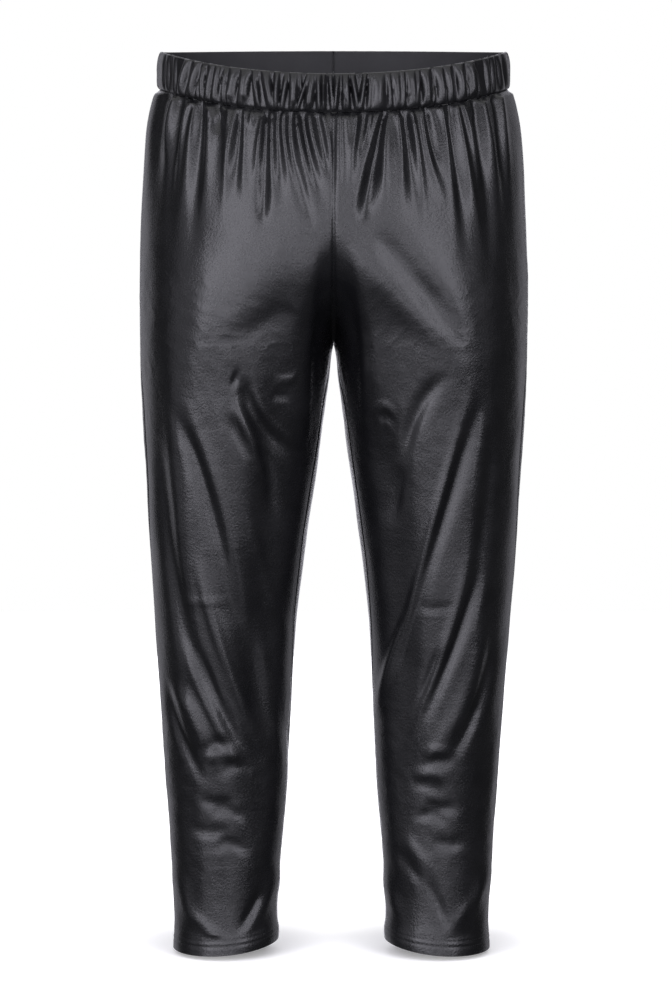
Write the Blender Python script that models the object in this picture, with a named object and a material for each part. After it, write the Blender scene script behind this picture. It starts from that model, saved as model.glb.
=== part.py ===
"""Pull-on leggings of coated stretch cloth, filled out as when worn, with nobody inside.

Units are metres, +Z is up, the front faces -Y, and "right" is +X, the right of a viewer in front.
The origin is the middle of the waistband's ring, where a waist would hold the garment up.
Each piece starts as a flat grid of (across, down, layer), which is folded round the body's form:
layer 0 is the outer face of the cloth and layer 1 the inner face.
"""

import math
import random
from collections import namedtuple

import bmesh
import bpy
import numpy as np

# Cloth and seams
PANEL_WALL = 0.0016
BAND_WALL = 0.0024
HALF_GAP = 0.00015

# Waistband: heights at the side seams, half sizes of its ring, and how its edge dips and rises
BAND_TOP = 0.0211
BAND_BOTTOM = -0.0200
BAND_HALF_WIDTH_TOP = 0.1880
BAND_HALF_WIDTH_BOTTOM = 0.1925
BAND_HALF_DEPTH_TOP = 0.1330
BAND_HALF_DEPTH_BOTTOM = 0.1360
BAND_FULLNESS = 0.03
FRONT_DIP = 0.0325
BACK_RISE = 0.0110
BAND_BULGE = 0.0012
BAND_TURN = 0.01

# Gathers
BAND_GATHERS = 88
BAND_RIDGE = 0.0018
BAND_TROUGH = 0.0009
PANEL_GATHERS = 18
PANEL_RIDGE = 0.0028
PANEL_TROUGH = 0.0018
GATHERS_END = -0.115
DIP_ENDS = -0.260

# Leg panels: nominal heights of the waist seam, the crotch and the hem
WAIST_SEAM = BAND_BOTTOM - 2 * HALF_GAP
CROTCH = -0.2990
HEM = -0.9645
HEM_TILT_STARTS = -0.900
HEM_SIDE_TILT = 0.0050
HEM_FRONT_DROP = 0.0040
HEM_LIFT = 0.0026

# Rows and columns of the folded grids
GATHER_ROWS = (-0.0255, -0.0340, -0.0520, -0.0780)
SEAT_ROWS = (-0.150, -0.185)
CROTCH_ROW_RISES = (0.086, 0.063, 0.044, 0.028, 0.016, 0.007, 0.002)
LEG_ROWS = 21
HEM_ROWS = (-0.944, -0.957)
PANEL_COLUMNS = 18
BAND_ROWS = 3

# The form that the cloth follows, from hem to waist, all of it half sizes from the middle:
# outer and inner are the leg's edges seen from the front, front and back its depths, fullness
# squares its ring off, and sway leans both legs to one side. Above the crotch each leg's ring
# reaches past the middle, and the middle plane cuts it where the centre seams run.
Section = namedtuple("Section", "height outer inner front back fullness sway")
SECTIONS = (
    Section(-0.972, 0.1757, 0.0600, 0.0630, 0.0680, 0.02, -0.0024),
    Section(-0.958, 0.1756, 0.0584, 0.0620, 0.0675, 0.02, -0.0024),
    Section(-0.938, 0.1744, 0.0598, 0.0600, 0.0660, 0.02, -0.0024),
    Section(-0.915, 0.1751, 0.0602, 0.0595, 0.0670, 0.02, -0.0024),
    Section(-0.871, 0.1778, 0.0571, 0.0605, 0.0720, 0.02, -0.0022),
    Section(-0.826, 0.1805, 0.0530, 0.0625, 0.0785, 0.02, -0.0021),
    Section(-0.759, 0.1852, 0.0482, 0.0675, 0.0870, 0.02, -0.0020),
    Section(-0.692, 0.1898, 0.0451, 0.0745, 0.0900, 0.02, -0.0018),
    Section(-0.603, 0.1962, 0.0399, 0.0850, 0.0870, 0.03, -0.0012),
    Section(-0.514, 0.2022, 0.0295, 0.0960, 0.0980, 0.03, -0.0006),
    Section(-0.426, 0.2071, 0.0169, 0.1085, 0.1140, 0.03, 0.0),
    Section(-0.382, 0.2097, 0.0110, 0.1150, 0.1230, 0.04, 0.0),
    Section(-0.338, 0.2117, 0.0053, 0.1220, 0.1340, 0.04, 0.0),
    Section(CROTCH, 0.2128, HALF_GAP, 0.1290, 0.1450, 0.05, 0.0),
    Section(-0.279, 0.2130, -0.0070, 0.1325, 0.1510, 0.05, 0.0),
    Section(-0.249, 0.2130, -0.0320, 0.1375, 0.1580, 0.06, 0.0),
    Section(-0.209, 0.2123, -0.0920, 0.1430, 0.1640, 0.07, 0.0),
    Section(-0.170, 0.2112, -0.1640, 0.1465, 0.1650, 0.07, 0.0),
    Section(-0.130, 0.2092, -0.2050, 0.1485, 0.1610, 0.07, 0.0),
    Section(-0.097, 0.2066, -0.2066, 0.1480, 0.1550, 0.06, 0.0),
    Section(-0.053, 0.2012, -0.2012, 0.1435, 0.1470, 0.05, 0.0),
    Section(-0.031, 0.1962, -0.1962, 0.1385, 0.1420, 0.04, 0.0),
    Section(-0.020, 0.1925, -0.1925, 0.1355, 0.1370, 0.03, 0.0),
)

# Where the seams of a leg run: degrees forward of its outermost and of its innermost line
SeamTurn = namedtuple("SeamTurn", "height side inseam")
SEAM_TURNS = (
    SeamTurn(-0.972, 0.0, -6.0),
    SeamTurn(-0.720, 0.0, -2.0),
    SeamTurn(-0.600, 4.0, 14.0),
    SeamTurn(-0.440, 15.0, 17.0),
    SeamTurn(-0.370, 15.0, 14.0),
    SeamTurn(CROTCH, 7.0, 0.0),
    SeamTurn(-0.170, 0.0, 0.0),
    SeamTurn(-0.020, 0.0, 0.0),
)

# The largest folds of each panel. Across runs from 0 at the side seam to 1 at the inner edge;
# bow bends the fold's middle sideways; a lift below zero is a trough.
Fold = namedtuple("Fold", "top_across top_height across height bow width lift")
FOLDS = {
    "front_left": (
        Fold(0.22, -0.070, 0.17, -0.190, 0.004, 0.016, 0.0045),
        Fold(0.70, -0.235, 0.45, -0.320, 0.010, 0.022, -0.0040),
        Fold(0.50, -0.330, 0.78, -0.420, 0.006, 0.018, 0.0045),
        Fold(0.25, -0.380, 0.42, -0.500, 0.010, 0.022, -0.0050),
        Fold(0.24, -0.500, 0.52, -0.700, -0.012, 0.020, -0.0055),
        Fold(0.34, -0.590, 0.62, -0.750, -0.010, 0.014, 0.0045),
        Fold(0.72, -0.520, 0.80, -0.700, 0.006, 0.020, 0.0030),
    ),
    "front_right": (
        Fold(0.22, -0.070, 0.17, -0.180, 0.004, 0.016, 0.0045),
        Fold(0.72, -0.190, 0.36, -0.310, -0.008, 0.022, -0.0045),
        Fold(0.38, -0.330, 0.72, -0.490, 0.008, 0.024, -0.0050),
        Fold(0.28, -0.380, 0.36, -0.490, 0.004, 0.022, -0.0045),
        Fold(0.42, -0.510, 0.70, -0.760, -0.010, 0.016, 0.0050),
        Fold(0.22, -0.580, 0.48, -0.750, 0.012, 0.018, 0.0050),
        Fold(0.80, -0.530, 0.84, -0.640, 0.0, 0.016, 0.0030),
    ),
    "back_left": (
        Fold(0.22, -0.070, 0.17, -0.180, 0.004, 0.016, 0.0045),
        Fold(0.90, -0.200, 0.42, -0.320, -0.012, 0.024, -0.0045),
        Fold(0.80, -0.330, 0.34, -0.400, -0.010, 0.022, -0.0045),
        Fold(0.25, -0.560, 0.78, -0.600, 0.010, 0.020, -0.0050),
        Fold(0.80, -0.640, 0.30, -0.680, 0.008, 0.018, -0.0040),
        Fold(0.40, -0.760, 0.55, -0.900, 0.008, 0.018, 0.0035),
    ),
    "back_right": (
        Fold(0.24, -0.070, 0.18, -0.190, 0.004, 0.016, 0.0045),
        Fold(0.88, -0.215, 0.38, -0.330, -0.012, 0.024, -0.0045),
        Fold(0.76, -0.345, 0.30, -0.405, -0.010, 0.022, -0.0045),
        Fold(0.20, -0.570, 0.80, -0.590, 0.012, 0.020, -0.0050),
        Fold(0.76, -0.625, 0.34, -0.690, 0.008, 0.018, -0.0040),
        Fold(0.45, -0.770, 0.50, -0.890, -0.008, 0.018, 0.0035),
    ),
}

CLOTH_COLOUR = (0.018, 0.019, 0.021, 1.0)
CLOTH_ROUGHNESS = 0.38


def clear_scene():
    for thing in list(bpy.data.objects):
        bpy.data.objects.remove(thing, do_unlink=True)


def coated_cloth(name):
    material = bpy.data.materials.new(name)
    material.use_nodes = True
    shader = material.node_tree.nodes["Principled BSDF"]
    shader.inputs["Base Color"].default_value = CLOTH_COLOUR
    shader.inputs["Roughness"].default_value = CLOTH_ROUGHNESS
    shader.inputs["Metallic"].default_value = 0.0
    return material


def smoothstep(low, high, value):
    share = np.clip((value - low) / (high - low), 0.0, 1.0)
    return share * share * (3.0 - 2.0 * share)


def read_table(table, column, heights):
    """A column of a table at these heights, on a smooth curve through its rows."""
    known = np.array([row.height for row in table])
    values = np.array([getattr(row, column) for row in table])
    slopes = np.gradient(values, known)
    heights = np.clip(heights, known[0], known[-1])
    below = np.clip(np.searchsorted(known, heights) - 1, 0, len(known) - 2)
    step = known[below + 1] - known[below]
    part = (heights - known[below]) / step
    rise = part * part * (3.0 - 2.0 * part)
    lead = part * (1.0 - part) ** 2 * step * slopes[below]
    trail = part * part * (part - 1.0) * step * slopes[below + 1]
    return values[below] * (1.0 - rise) + values[below + 1] * rise + lead + trail


def rounded(cosine, sine, fullness):
    """A circle's point, pushed out towards the corners of its square."""
    return cosine * (1.0 + fullness * sine**2), sine * (1.0 + fullness * cosine**2)


def leg_ring(heights, angles):
    """Points on a right leg's form. Angle 0 is outermost, and positive angles are in front."""
    outer = read_table(SECTIONS, "outer", heights)
    inner = read_table(SECTIONS, "inner", heights)
    front = read_table(SECTIONS, "front", heights)
    back = read_table(SECTIONS, "back", heights)
    fullness = read_table(SECTIONS, "fullness", heights)
    across, along = rounded(np.cos(angles), np.sin(angles), fullness)
    x = (outer + inner) / 2 + (outer - inner) / 2 * across
    y = np.where(along > 0, -front * along, -back * along)
    return x, y


def middle_angle(heights):
    """The angle where a leg's ring meets the middle plane: half a turn, below the crotch."""
    outer = read_table(SECTIONS, "outer", heights)
    inner = read_table(SECTIONS, "inner", heights)
    fullness = read_table(SECTIONS, "fullness", heights)
    reach = (HALF_GAP - (outer + inner) / 2) / ((outer - inner) / 2)
    reach = np.clip(reach, -1.0, 1.0)
    cosine = reach.copy()
    for _ in range(6):
        miss = cosine * (1.0 + fullness * (1.0 - cosine**2)) - reach
        cosine = cosine - miss / (1.0 + fullness * (1.0 - 3.0 * cosine**2))
    return np.arccos(np.clip(cosine, -1.0, 1.0))


def gap_angle(heights, angles):
    """Half the seam gap, as a turn of the leg's ring at these angles."""
    turn = 0.001
    x0, y0 = leg_ring(heights, angles - turn)
    x1, y1 = leg_ring(heights, angles + turn)
    return HALF_GAP * 2 * turn / np.hypot(x1 - x0, y1 - y0)


def panel_angles(is_front, across, heights):
    """The ring's angle for a share of the way across a panel, from side seam to inner edge."""
    side = np.radians(read_table(SEAM_TURNS, "side", heights))
    inseam = np.radians(read_table(SEAM_TURNS, "inseam", heights))
    middle = middle_angle(heights)
    below_crotch = heights <= CROTCH + 1e-6
    if is_front:
        edge = np.where(below_crotch, math.pi - inseam, middle)
        start = side + gap_angle(heights, side)
        finish = edge - np.where(below_crotch, gap_angle(heights, edge), 0.0)
    else:
        edge = np.where(below_crotch, -math.pi - inseam, -middle)
        start = side - gap_angle(heights, side)
        finish = edge + np.where(below_crotch, gap_angle(heights, edge), 0.0)
    return start + (finish - start) * across


def edge_height(heights, angles):
    """Real heights: the waist seam dips in front and rises behind, and the hem tilts."""
    sine = np.sin(angles)
    dip = np.where(sine > 0, -FRONT_DIP, BACK_RISE) * sine**2
    tilt = HEM_LIFT - HEM_SIDE_TILT * np.cos(angles) - HEM_FRONT_DROP * sine**2
    waist_share = smoothstep(DIP_ENDS, WAIST_SEAM, heights)
    hem_share = 1.0 - smoothstep(HEM, HEM_TILT_STARTS, heights)
    return heights + dip * waist_share + tilt * hem_share


def form_point(heights, angles):
    x, y = leg_ring(heights, angles)
    return np.stack([x, y, edge_height(heights, angles)], axis=-1)


def outward(heights, angles):
    """Unit normals of the leg's form."""
    rise = 0.0008
    turn = 0.006
    along = form_point(heights + rise, angles) - form_point(heights - rise, angles)
    around = form_point(heights, angles + turn) - form_point(heights, angles - turn)
    normal = np.cross(along, around)
    return normal / np.linalg.norm(normal, axis=-1, keepdims=True)


def fold_lift(name, across, heights, panel_width):
    """How far the largest folds push each point out of its panel."""
    lift = np.zeros_like(heights)
    for fold in FOLDS[name]:
        share = (fold.top_height - heights) / (fold.top_height - fold.height)
        share = np.clip(share, 0.0, 1.0)
        line = fold.top_across + (fold.across - fold.top_across) * share
        sideways = (across - line) * panel_width - fold.bow * np.sin(math.pi * share)
        slope = (fold.across - fold.top_across) * panel_width
        slope = slope / (fold.top_height - fold.height)
        beside = sideways / np.sqrt(1.0 + slope**2)
        past = heights - np.clip(heights, fold.height, fold.top_height)
        lift += fold.lift * np.exp(-(beside**2 + past**2) / fold.width**2)
    return lift


def gather_lift(dice, across, heights):
    """Ridges on the odd columns and troughs on the even ones, fading towards the hips."""
    columns = 2 * PANEL_GATHERS
    column = np.rint(across * columns).astype(int)
    strength = np.array([dice.uniform(0.65, 1.25) for _ in range(columns + 1)])[column]
    reach = np.array([dice.uniform(-0.112, -0.078) for _ in range(columns + 1)])[column]
    is_ridge = column % 2 == 1
    fade = smoothstep(reach, WAIST_SEAM - 0.012, heights)
    pinch = 1.0 - 0.55 * smoothstep(WAIST_SEAM - 0.010, WAIST_SEAM, heights)
    rise = np.where(is_ridge, PANEL_RIDGE, -PANEL_TROUGH)
    return rise * strength * fade * pinch


def folded_sheet(columns, rows, fine_rows):
    """A flat grid over the unit square, down from 0 at its top row, with finer top rows."""
    sheet = bmesh.new()
    bmesh.ops.create_grid(sheet, x_segments=columns, y_segments=rows, size=0.5)
    for vert in sheet.verts:
        vert.co.x += 0.5
        vert.co.y = 0.5 - vert.co.y
        vert.co.z = 0.0
    last_fine = (fine_rows + 0.5) / rows
    level = [
        edge
        for edge in sheet.edges
        if abs(edge.verts[0].co.y - edge.verts[1].co.y) < 1e-6
        and edge.verts[0].co.y < last_fine
    ]
    if fine_rows:
        bmesh.ops.subdivide_edges(sheet, edges=level, cuts=1, use_grid_fill=True)
    return sheet


def thicken(sheet):
    """Gives the sheet its second face and its edges. The new layer is the inner one."""
    made = bmesh.ops.extrude_face_region(sheet, geom=sheet.faces[:], use_keep_orig=True)
    for item in made["geom"]:
        if isinstance(item, bmesh.types.BMVert):
            item.co.z = 1.0


def read_sheet(sheet):
    spots = np.array([vert.co for vert in sheet.verts])
    return spots[:, 0], spots[:, 1], spots[:, 2]


def finish_piece(name, sheet, points, material):
    for vert, point in zip(sheet.verts, points):
        vert.co = point
    bmesh.ops.recalc_face_normals(sheet, faces=sheet.faces[:])
    if sheet.calc_volume(signed=True) < 0:
        bmesh.ops.reverse_faces(sheet, faces=sheet.faces[:])
    mesh = bpy.data.meshes.new(name)
    sheet.to_mesh(mesh)
    sheet.free()
    mesh.shade_smooth()
    mesh.set_sharp_from_angle(angle=math.radians(50))
    mesh.materials.append(material)
    piece = bpy.data.objects.new(name, mesh)
    bpy.context.scene.collection.objects.link(piece)
    return piece


def panel_heights():
    """Nominal heights of a panel's rows, from the waist seam to the hem."""
    crotch_rows = [CROTCH + rise for rise in CROTCH_ROW_RISES] + [CROTCH]
    leg_step = (HEM_ROWS[0] - CROTCH) / LEG_ROWS
    leg_rows = [CROTCH + leg_step * (number + 1) for number in range(LEG_ROWS)]
    return np.array(
        [WAIST_SEAM, *GATHER_ROWS, GATHERS_END, *SEAT_ROWS, *crotch_rows, *leg_rows, HEM_ROWS[1], HEM]
    )


def leg_panel(name, material):
    """One of the four leg panels, cut from waist seam to hem."""
    is_front = name.startswith("front")
    mirror = 1.0 if name.endswith("right") else -1.0
    dice = random.Random(name)
    row_heights = panel_heights()
    rows = len(row_heights) - 1
    sheet = folded_sheet(PANEL_COLUMNS, rows, len(GATHER_ROWS))
    thicken(sheet)
    across, down, layer = read_sheet(sheet)
    heights = np.interp(down * rows, np.arange(rows + 1), row_heights)
    angles = panel_angles(is_front, across, heights)
    base = form_point(heights, angles)
    normals = outward(heights, angles)
    edge_angles = panel_angles(is_front, np.ones_like(heights), heights)
    half_depth = read_table(SECTIONS, "front" if is_front else "back", heights)
    panel_width = abs(edge_angles) * half_depth * 1.05
    lift = gather_lift(dice, across, heights)
    lift += fold_lift(name, across, heights, panel_width) * smoothstep(0.0, 0.12, across)
    points = base + normals * (lift - layer * PANEL_WALL)[:, None]
    # Above the crotch both faces of the cloth end on the middle plane, where the centre seam runs.
    at_middle = (across > 1.0 - 1e-6) & (heights > CROTCH - 1e-6)
    points[:, 0] = np.where(at_middle, HALF_GAP, points[:, 0])
    points[:, 0] = np.maximum(points[:, 0], HALF_GAP)
    points[:, 0] = points[:, 0] * mirror + read_table(SECTIONS, "sway", heights)
    return finish_piece(name, sheet, points, material)


def band_point(share_up, angles):
    """The waistband's smooth form: share_up is 0 at the waist seam and 1 at the top edge."""
    half_width = BAND_HALF_WIDTH_BOTTOM + (BAND_HALF_WIDTH_TOP - BAND_HALF_WIDTH_BOTTOM) * share_up
    half_depth = BAND_HALF_DEPTH_BOTTOM + (BAND_HALF_DEPTH_TOP - BAND_HALF_DEPTH_BOTTOM) * share_up
    across, along = rounded(np.cos(angles), np.sin(angles), BAND_FULLNESS)
    sine = np.sin(angles)
    dip = np.where(sine > 0, -FRONT_DIP, BACK_RISE) * sine**2
    height = BAND_BOTTOM + (BAND_TOP - BAND_BOTTOM) * share_up + dip
    return np.stack([half_width * across, -half_depth * along, height], axis=-1)


def waistband(material):
    """A gathered strip round the waist, its ends 0.3 mm apart at the centre back."""
    dice = random.Random("waistband")
    columns = 2 * BAND_GATHERS
    sheet = folded_sheet(columns, BAND_ROWS, 0)
    thicken(sheet)
    across, down, layer = read_sheet(sheet)
    share_up = 1.0 - down
    column = np.rint(across * columns).astype(int)
    spacing = np.array([dice.uniform(-0.28, 0.28) for _ in range(columns + 1)])
    lean = np.array([dice.uniform(-0.5, 0.5) for _ in range(columns + 1)])
    strength = np.array([dice.uniform(0.55, 1.3) for _ in range(columns + 1)])
    spacing[[0, -1]] = 0.0
    lean[[0, -1]] = 0.0
    end_angle = HALF_GAP / BAND_HALF_DEPTH_TOP
    turn = (2 * math.pi - 2 * end_angle) / columns
    shift = spacing[column] + lean[column] * (share_up - 0.5)
    angles = -math.pi / 2 + end_angle + turn * (column + shift)
    base = band_point(share_up, angles)
    around = band_point(share_up, angles + BAND_TURN) - band_point(share_up, angles - BAND_TURN)
    level = np.stack([-around[:, 1], around[:, 0], np.zeros_like(angles)], axis=-1)
    normals = level / np.linalg.norm(level, axis=-1, keepdims=True)
    normals *= np.sign((normals * base).sum(axis=-1))[:, None]
    crest = np.sin(math.pi * (0.15 + 0.70 * share_up))
    ridge = np.where(column % 2 == 1, BAND_RIDGE, -BAND_TROUGH) * strength[column]
    lift = (BAND_BULGE + ridge) * crest
    points = base + normals * np.where(layer > 0.5, -BAND_WALL, lift)[:, None]
    return finish_piece("waistband", sheet, points, material)


def main():
    clear_scene()
    cloth = coated_cloth("coated_cloth")
    waistband(cloth)
    for name in FOLDS:
        leg_panel(name, cloth)


main()
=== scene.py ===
"""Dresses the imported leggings: gathered waistband, four creased leg panels, stitching and studio.

Sizes are metres unless a table's note says millimetres. The front faces -Y and "right" is +X.
Every panel starts as a flat grid of (across, down, layer), as its solid does, and is folded round
the same sections with finer rows and columns. Gathers and creases are then pushed in and out.
"""

import math
import random
from collections import namedtuple

import bmesh
import bpy
import numpy as np
from mathutils import Matrix, Vector, noise


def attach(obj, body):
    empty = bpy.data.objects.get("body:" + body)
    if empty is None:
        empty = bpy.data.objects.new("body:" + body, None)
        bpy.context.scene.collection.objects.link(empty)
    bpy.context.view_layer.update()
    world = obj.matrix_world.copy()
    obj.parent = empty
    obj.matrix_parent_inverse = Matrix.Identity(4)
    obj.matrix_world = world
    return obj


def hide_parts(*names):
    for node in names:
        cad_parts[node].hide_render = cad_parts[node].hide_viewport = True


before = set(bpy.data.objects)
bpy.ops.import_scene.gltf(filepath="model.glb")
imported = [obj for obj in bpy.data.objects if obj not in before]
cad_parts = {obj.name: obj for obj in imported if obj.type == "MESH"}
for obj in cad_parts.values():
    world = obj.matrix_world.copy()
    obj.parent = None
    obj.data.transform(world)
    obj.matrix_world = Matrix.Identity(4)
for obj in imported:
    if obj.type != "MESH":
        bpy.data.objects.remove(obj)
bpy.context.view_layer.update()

MM = 0.001
TINY = 1e-6
SHARP_ANGLE = math.radians(62)

# Cloth and seams
PANEL_WALL = 0.0011
BAND_WALL = 0.0024
HALF_GAP = 0.000003
SEAM_ROLL_DEPTH = 0.0015
SEAM_ROLL_WIDTH = 0.0016

# Waistband: heights at the side seams, half sizes of its ring, and how its edge dips and rises
BAND_TOP = 0.0211
BAND_BOTTOM = -0.0200
BAND_HALF_WIDTH_TOP = 0.1900
BAND_HALF_WIDTH_BOTTOM = 0.1925
BAND_HALF_DEPTH_TOP = 0.1330
BAND_HALF_DEPTH_BOTTOM = 0.1360
BAND_FULLNESS = 0.03
FRONT_DIP = 0.0325
FRONT_DIP_POWER = 1.6
BACK_RISE = 0.0110
BACK_RISE_POWER = 1.15
BAND_BULGE = 0.0032
BAND_BULGE_POWER = 3
BAND_TURN = 0.01

# Leg panels: nominal heights of the waist seam, the crotch and the hem
WAIST_SEAM = BAND_BOTTOM - 0.00002
CROTCH = -0.2990
HEM = -0.9645
DIP_ENDS = -0.260
HEM_TILT_STARTS = -0.900
HEM_SIDE_TILT = 0.0050
HEM_FRONT_DROP = 0.0040
HEM_LIFT = 0.0026

# The photo's viewer: the eye's height, distance from the side seams, tilt and offset. Sizes are
# seen on the plane of the side seams, VIEW_RANGE away, where VIEW_TOP is the waistband's top.
EYE_HEIGHT = -0.2542
EYE_DISTANCE = 3.6
EYE_TILT = math.radians(3.5)
EYE_SIDE = 0.0026
VIEW_RANGE = 3.609
VIEW_TOP = 0.4990
FRAME_HALF_ANGLE = math.radians(8.765)
SENSOR_WIDTH = 36.0
CAMERA_REACH = 100.0

# Rows and columns of the folded grids. They are closest at the waist seam, at the hem, along the
# seams of a panel and, by BAND_ROWS_DOWN and BAND_ROWS_UP, at both edges of the waistband.
PANEL_COLUMNS = 186
GATHER_ROWS = 54
SEAT_ROWS = 46
LEG_ROWS = 142
HEM_ROWS = 16
GATHER_ROWS_END = -0.155
GATHER_ROWS_POWER = 1.25
SEAT_ROWS_POWER = 1.6
HEM_ROWS_START = HEM + 0.024
EDGE_COLUMNS = (0.0, 0.0008, 0.0017, 0.0029, 0.0044)
BAND_COLUMNS = 1440
BAND_ROWS = 30
BAND_ROWS_DOWN = (0.0, 0.17, 0.88, 1.0)
BAND_ROWS_UP = (1.0, 0.93, 0.07, 0.0)
ARC_POINTS = 25
SETTLING_ROUNDS = 6


def rows_of(kind, *rows):
    """A table whose rows have named fields."""
    return tuple(kind(*row) for row in rows)


# The form that the cloth follows, from hem to waist, as the solids have it: outer and inner are
# the leg's edges seen from the front, front and back its depths, fullness squares its ring off,
# and sway leans both legs to one side.
Section = namedtuple("Section", "height outer inner front back fullness sway")
SECTIONS = rows_of(
    Section,
    (-0.972, 0.1757, 0.0600, 0.0630, 0.0680, 0.02, -0.0024),
    (-0.958, 0.1756, 0.0584, 0.0620, 0.0675, 0.02, -0.0024),
    (-0.938, 0.1744, 0.0598, 0.0600, 0.0660, 0.02, -0.0024),
    (-0.915, 0.1751, 0.0602, 0.0595, 0.0670, 0.02, -0.0024),
    (-0.871, 0.1778, 0.0571, 0.0605, 0.0720, 0.02, -0.0022),
    (-0.826, 0.1805, 0.0530, 0.0625, 0.0785, 0.02, -0.0021),
    (-0.759, 0.1852, 0.0482, 0.0675, 0.0870, 0.02, -0.0020),
    (-0.692, 0.1898, 0.0451, 0.0745, 0.0900, 0.02, -0.0018),
    (-0.603, 0.1962, 0.0399, 0.0850, 0.0870, 0.03, -0.0012),
    (-0.514, 0.2022, 0.0295, 0.0960, 0.0980, 0.03, -0.0006),
    (-0.426, 0.2071, 0.0169, 0.1085, 0.1140, 0.03, 0.0),
    (-0.382, 0.2097, 0.0110, 0.1150, 0.1230, 0.04, 0.0),
    (-0.338, 0.2117, 0.0053, 0.1220, 0.1340, 0.04, 0.0),
    (CROTCH, 0.2128, HALF_GAP, 0.1290, 0.1450, 0.05, 0.0),
    (-0.279, 0.2130, -0.0070, 0.1325, 0.1510, 0.05, 0.0),
    (-0.249, 0.2130, -0.0320, 0.1375, 0.1580, 0.06, 0.0),
    (-0.209, 0.2123, -0.0920, 0.1430, 0.1640, 0.07, 0.0),
    (-0.170, 0.2112, -0.1640, 0.1465, 0.1650, 0.07, 0.0),
    (-0.130, 0.2092, -0.2050, 0.1485, 0.1610, 0.07, 0.0),
    (-0.097, 0.2066, -0.2066, 0.1480, 0.1550, 0.06, 0.0),
    (-0.053, 0.2012, -0.2012, 0.1435, 0.1470, 0.05, 0.0),
    (-0.031, 0.1962, -0.1962, 0.1385, 0.1420, 0.04, 0.0),
    (-0.020, 0.1925, -0.1925, 0.1355, 0.1370, 0.03, 0.0),
)

# Where the seams of a leg run: degrees forward of its outermost and of its innermost line
SeamTurn = namedtuple("SeamTurn", "height side inseam")
SEAM_TURNS = rows_of(
    SeamTurn,
    (-0.972, 0.0, -6.0),
    (-0.720, 0.0, -2.0),
    (-0.600, 4.0, 14.0),
    (-0.440, 15.0, 17.0),
    (-0.370, 15.0, 14.0),
    (CROTCH, 7.0, 0.0),
    (-0.170, 0.0, 0.0),
    (-0.020, 0.0, 0.0),
)

# Gathers and creases, in millimetres as a viewer in front, or behind, sees them on the plane of
# the side seams: x from the middle, down from the waistband's top at the sides. Each is a curve
# from a start through a bend to an end. A lift below zero is a trough.
Crease = namedtuple("Crease", "start_x start_down bend_x bend_down end_x end_down width lift")
FRONT_LEFT_GATHERS = rows_of(
    Crease,
    (-193, 46, -203, 86, -207, 188, 4.4, 1.6),
    (-176, 52, -185, 84, -191, 130, 3.6, 2),
    (-156, 58, -169, 95, -178, 200, 3.2, 2.6),
    (-150, 55, -158, 92, -170, 195, 3.2, 2.4),
    (-133, 56, -136, 66, -140, 77, 2.8, 1.2),
    (-140, 60, -141, 119, -152, 215, 5.5, 1.6),
    (-115, 63, -119, 106, -123, 155, 3.6, 1.8),
    (-107, 62, -117, 120, -123, 190, 3, 2.2),
    (-99, 66, -101, 120, -100, 170, 3, 1.6),
    (-90, 65, -91, 75, -93, 86, 2.6, 1.6),
    (-77, 65, -83, 106, -87, 165, 2.8, 2.2),
    (-68, 65, -69, 119, -65, 185, 3.4, 2.2),
    (-54, 67, -55, 100, -35, 180, 3.4, 2.2),
    (-42, 67, -36, 103, -16, 180, 3.4, 2.2),
    (-27, 67, -21, 104, -1, 165, 3.2, 2),
    (-13, 68, -5, 103, -2, 155, 2.6, 1.4),
    (-104, 64, -105, 71, -106, 79, 2.4, 1.2),
    (-124, 60, -132, 73, -136, 84, 2.8, 1.1),
    (-185, 49, -194, 95, -198, 225, 5.5, -3.2),
    (-168, 53, -175, 98, -184, 260, 5.5, -3),
    (-148, 57, -150, 115, -160, 270, 5.5, -3.6),
    (-127, 61, -127, 75, -126, 100, 3.4, -2.8),
    (-104, 68, -106, 110, -111, 175, 5, -3.4),
    (-75, 66, -76, 119, -81, 205, 4.8, -3),
    (-60, 68, -60, 115, -55, 190, 5, -2.8),
    (-47, 69, -45, 118, -27, 195, 5, -3),
    (-34, 71, -27, 115, -7, 185, 4.6, -3),
    (-18, 72, -12, 103, -2, 150, 3.8, -2),
)
FRONT_RIGHT_GATHERS = rows_of(
    Crease,
    (7, 70, 6, 119, 8, 206, 3, 1.5),
    (15, 68, 16, 95, 19, 150, 3, 1.4),
    (25, 67, 22, 105, 13, 190, 3.2, 1.9),
    (41, 67, 35, 97, 27, 128, 3.1, 1.8),
    (52, 66, 40, 108, 22, 185, 3.1, 2.6),
    (62, 66, 56, 108, 56, 190, 3.1, 2.6),
    (69, 65, 76, 103, 77, 175, 3.1, 2.6),
    (79, 64, 77, 72, 74, 82, 2.6, 1.4),
    (84, 64, 93, 110, 102, 205, 3.1, 2.6),
    (98, 62, 105, 110, 126, 175, 2.9, 2.2),
    (112, 61, 127, 104, 138, 235, 3.4, 2.6),
    (125, 59, 126, 68, 129, 83, 2.6, 1.4),
    (134, 56, 145, 112, 166, 225, 3.2, 2.6),
    (140, 56, 157, 112, 168, 206, 3.2, 2.2),
    (152, 54, 154, 64, 157, 79, 2.8, 1.4),
    (164, 52, 173, 97, 186, 175, 4.2, 2.2),
    (184, 49, 190, 100, 197, 200, 2.8, 1.8),
    (197, 46, 206, 92, 208, 197, 4.4, 1.4),
    (116, 61, 120, 68, 123, 77, 2.4, 1.2),
    (57, 67, 48, 112, 30, 225, 7.4, -6),
    (33, 68, 32, 90, 24, 130, 4, -2.2),
    (77, 66, 84, 108, 92, 205, 6.2, -4.4),
    (102, 63, 109, 97, 118, 150, 4.2, -3.6),
    (126, 58, 135, 120, 152, 260, 5, -3.6),
    (153, 54, 165, 122, 177, 280, 5.4, -3.6),
    (177, 52, 186, 108, 192, 230, 4, -2.8),
)
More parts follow.
